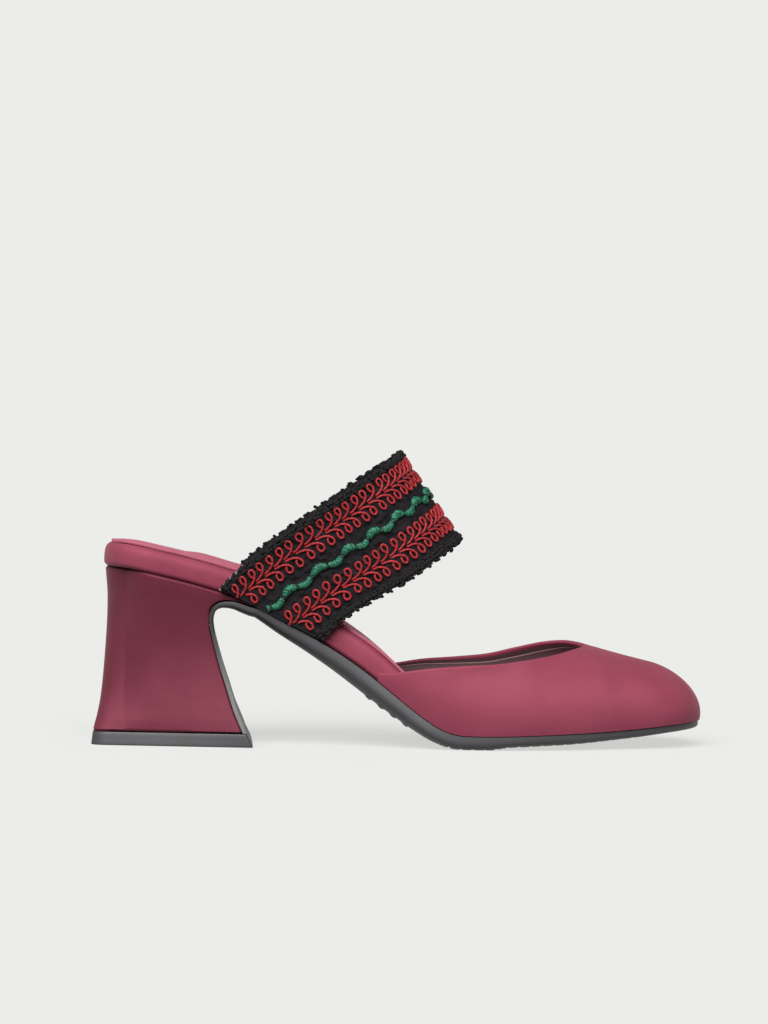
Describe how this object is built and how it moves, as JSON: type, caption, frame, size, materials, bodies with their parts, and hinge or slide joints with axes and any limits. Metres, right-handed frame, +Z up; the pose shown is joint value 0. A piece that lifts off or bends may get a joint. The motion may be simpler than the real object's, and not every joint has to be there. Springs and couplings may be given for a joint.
{
  "type": "womens heeled mule",
  "caption": "Woman's right mule pump with a closed soft-square satin toe, a braided ribbon strap over the instep, a thick wrapped footbed and a flared block heel.",
  "frame": {"origin": "on the floor, under the middle of the shoe's bounding box", "axes": "+X to the toe, +Y to the inner (medial) side of this right shoe, +Z up"},
  "size_m": [0.2342, 0.0792, 0.111],
  "materials": {
    "satin": "dusty rose polyester satin, soft sheen",
    "heel_satin": "dusty rose polyester satin, soft sheen",
    "sock_satin": "satin over thin foam",
    "sole_rubber": "moulded, semi-matt dark grey",
    "lining_tape": "plain woven tape, matt",
    "gimp_braid": "black woven braid with raised red gimp",
    "green_cord": "knitted cotton cord"
  },
  "bodies": {
    "root": {"heel_block": "heel_satin", "heel_lift": "sole_rubber", "outsole": "sole_rubber", "footbed": "satin", "sock_lining": "sock_satin", "vamp": "satin", "strap_lining": "lining_tape", "strap_braid": "gimp_braid", "wave_cord": "green_cord"}
  },
  "joints": []
}
